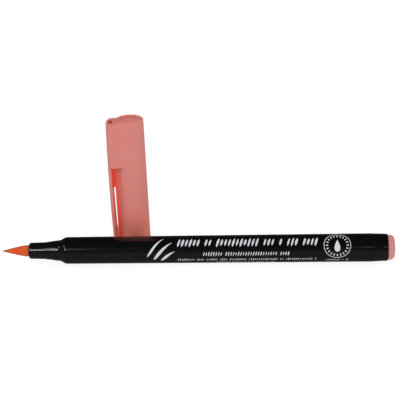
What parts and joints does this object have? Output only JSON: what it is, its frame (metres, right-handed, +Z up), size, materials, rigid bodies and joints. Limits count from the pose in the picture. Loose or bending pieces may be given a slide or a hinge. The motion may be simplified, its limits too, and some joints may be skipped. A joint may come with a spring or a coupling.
{
  "type": "brush pen",
  "caption": "Felt-tipped brush pen lying uncapped, with a slim black barrel, a coloured tail plug, and its clipped cap standing on its mouth beside it.",
  "frame": {"origin": "on the surface the pen lies on, under the middle of the pen and its cap together", "axes": "+X along the pen from its tip to its tail, +Y from the pen towards its cap, +Z up along the cap"},
  "size_m": [0.1356, 0.022, 0.0486],
  "materials": {
    "barrel": "glossy black moulded plastic with silver-white marks",
    "nose": "glossy black moulded plastic",
    "nib": "ink-wet bonded fibre",
    "core": "ink-soaked fibre bundle",
    "film": "clear thin film",
    "plug": "satin salmon moulded plastic",
    "cap": "satin salmon moulded plastic, slightly translucent",
    "liner": "plain salmon moulded plastic"
  },
  "bodies": {
    "pen": {"barrel": "barrel", "nose_section": "nose", "nib_shank": "nib", "ink_core": "core", "core_sleeve": "film", "tail_plug": "plug"},
    "nib": {"brush_tip": "nib"},
    "cap": {"cap_shell": "cap", "inner_cap": "liner"},
    "clip": {"clip_arm": "cap"}
  },
  "joints": [
    {"name": "nib_bend", "type": "hinge", "parent": "pen", "child": "nib", "pos_m": [-0.05878, -0.00611, 0.00485], "axis": [0, 1, 0], "range_deg": [-15, 15], "stiffness_Nm_per_rad": 0.01},
    {"name": "cap_lift", "type": "slide", "parent": "pen", "child": "cap", "axis": [0, 0, 1], "range_m": [0, 0.06]},
    {"name": "clip_flex", "type": "hinge", "parent": "cap", "child": "clip", "pos_m": [-0.02961, 0.00484, 0.0242], "axis": [-0.1392, 0.9903, 0], "range_deg": [0, 5], "stiffness_Nm_per_rad": 0.4}
  ]
}
